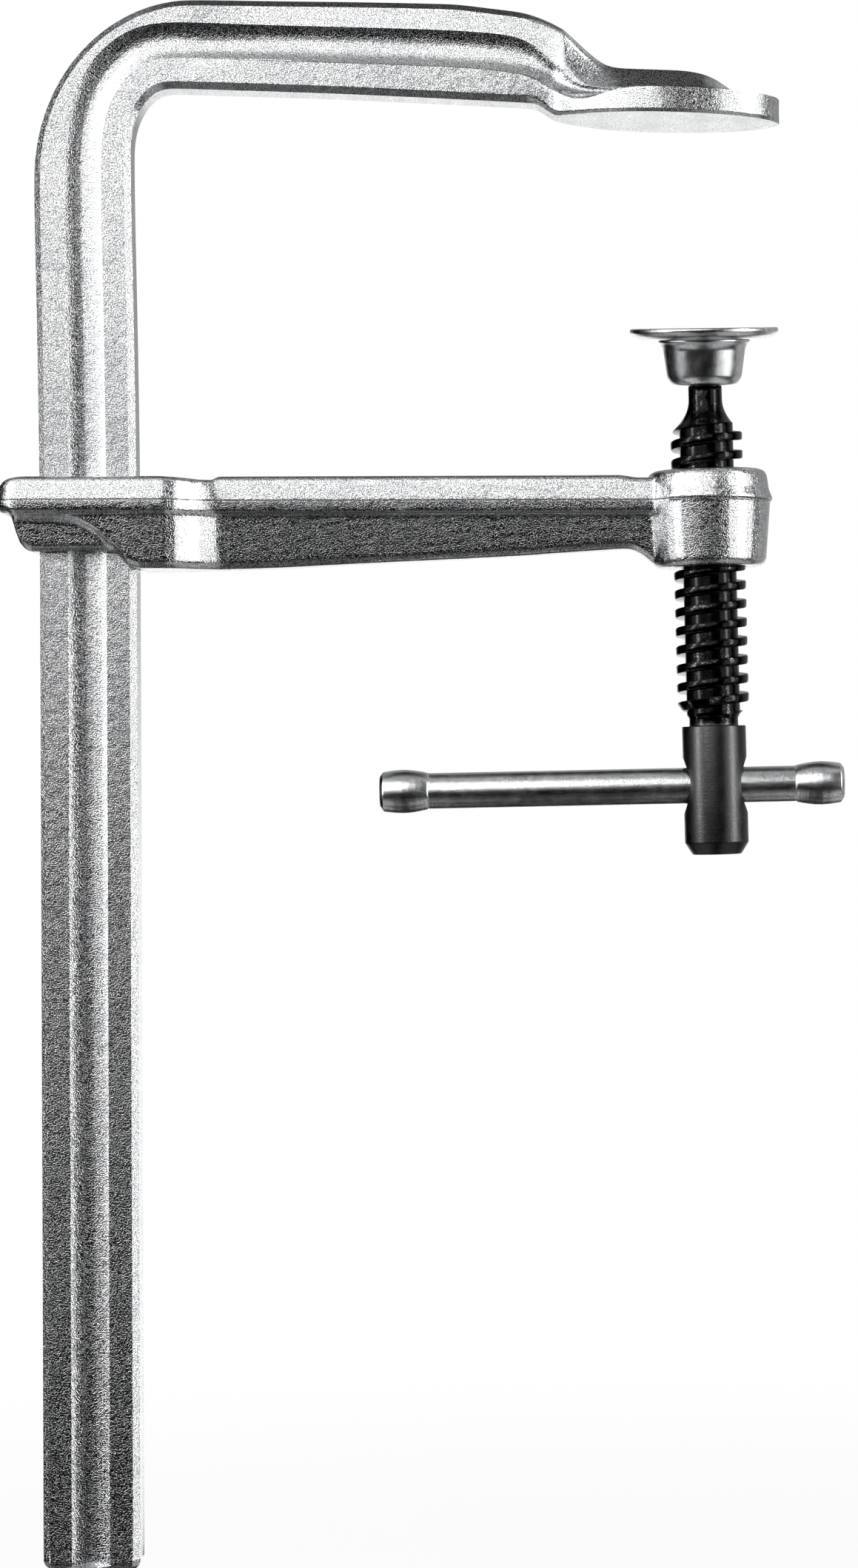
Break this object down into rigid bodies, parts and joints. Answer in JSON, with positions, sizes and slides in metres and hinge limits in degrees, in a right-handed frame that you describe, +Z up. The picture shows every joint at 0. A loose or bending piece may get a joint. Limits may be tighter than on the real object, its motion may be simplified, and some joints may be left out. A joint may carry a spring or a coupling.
{
  "type": "screw clamp",
  "caption": "All-steel screw clamp: grooved rail bent into a fixed arm with an oval jaw, sliding arm with a threaded spindle, swivelling pressure plate and sliding cross bar.",
  "frame": {"origin": "on the fixed jaw's face, where the spindle's axis meets it", "axes": "+Z runs up along the rail, towards the fixed arm; +X points away from the rail, along the arms; +Y is across the clamp"},
  "size_m": [0.1801, 0.0317, 0.3355],
  "materials": {
    "rail_zinc": "bright zinc plating with a fine grain",
    "arm_zinc": "bright zinc plating over a forged surface",
    "spindle_black": "black oxide, oiled",
    "ring_steel": "plain spring steel",
    "plate_zinc": "satin zinc plating",
    "bar_zinc": "satin zinc plating",
    "cap_zinc": "satin zinc plating"
  },
  "bodies": {
    "rail": {"rail": "rail_zinc"},
    "arm": {"sliding_arm": "arm_zinc"},
    "screw_lift": {"retaining_ring": "ring_steel"},
    "screw": {"spindle": "spindle_black"},
    "plate": {"ball_cup": "plate_zinc", "pressure_disc": "plate_zinc"},
    "cross_bar": {"tommy_bar": "bar_zinc", "end_cap_left": "cap_zinc", "end_cap_right": "cap_zinc"}
  },
  "joints": [
    {"name": "arm_slide", "type": "slide", "parent": "rail", "child": "arm", "axis": [0, 0, 1], "range_m": [-0.215, 0.01]},
    {"name": "spindle_travel", "type": "slide", "parent": "arm", "child": "screw_lift", "axis": [-0.0227, 0, 0.9997], "range_m": [-0.0141, 0.0301]},
    {"name": "spindle_turn", "type": "hinge", "parent": "screw_lift", "child": "screw", "pos_m": [0.00116, 0, -0.05109], "axis": [-0.0227, 0, 0.9997], "range_deg": [-1260, 2700]},
    {"name": "plate_tilt", "type": "hinge", "parent": "screw_lift", "child": "plate", "pos_m": [0.00116, 0, -0.05109], "axis": [0, 1, 0], "range_deg": [-8, 8]},
    {"name": "bar_slide", "type": "slide", "parent": "screw", "child": "cross_bar", "axis": [0.9999, 0, 0.0171], "range_m": [-0.0103, 0.054]}
  ],
  "couplings": [
    {"joint": "spindle_travel", "follows": "spindle_turn", "m_per_rad": 0.00063662}
  ]
}
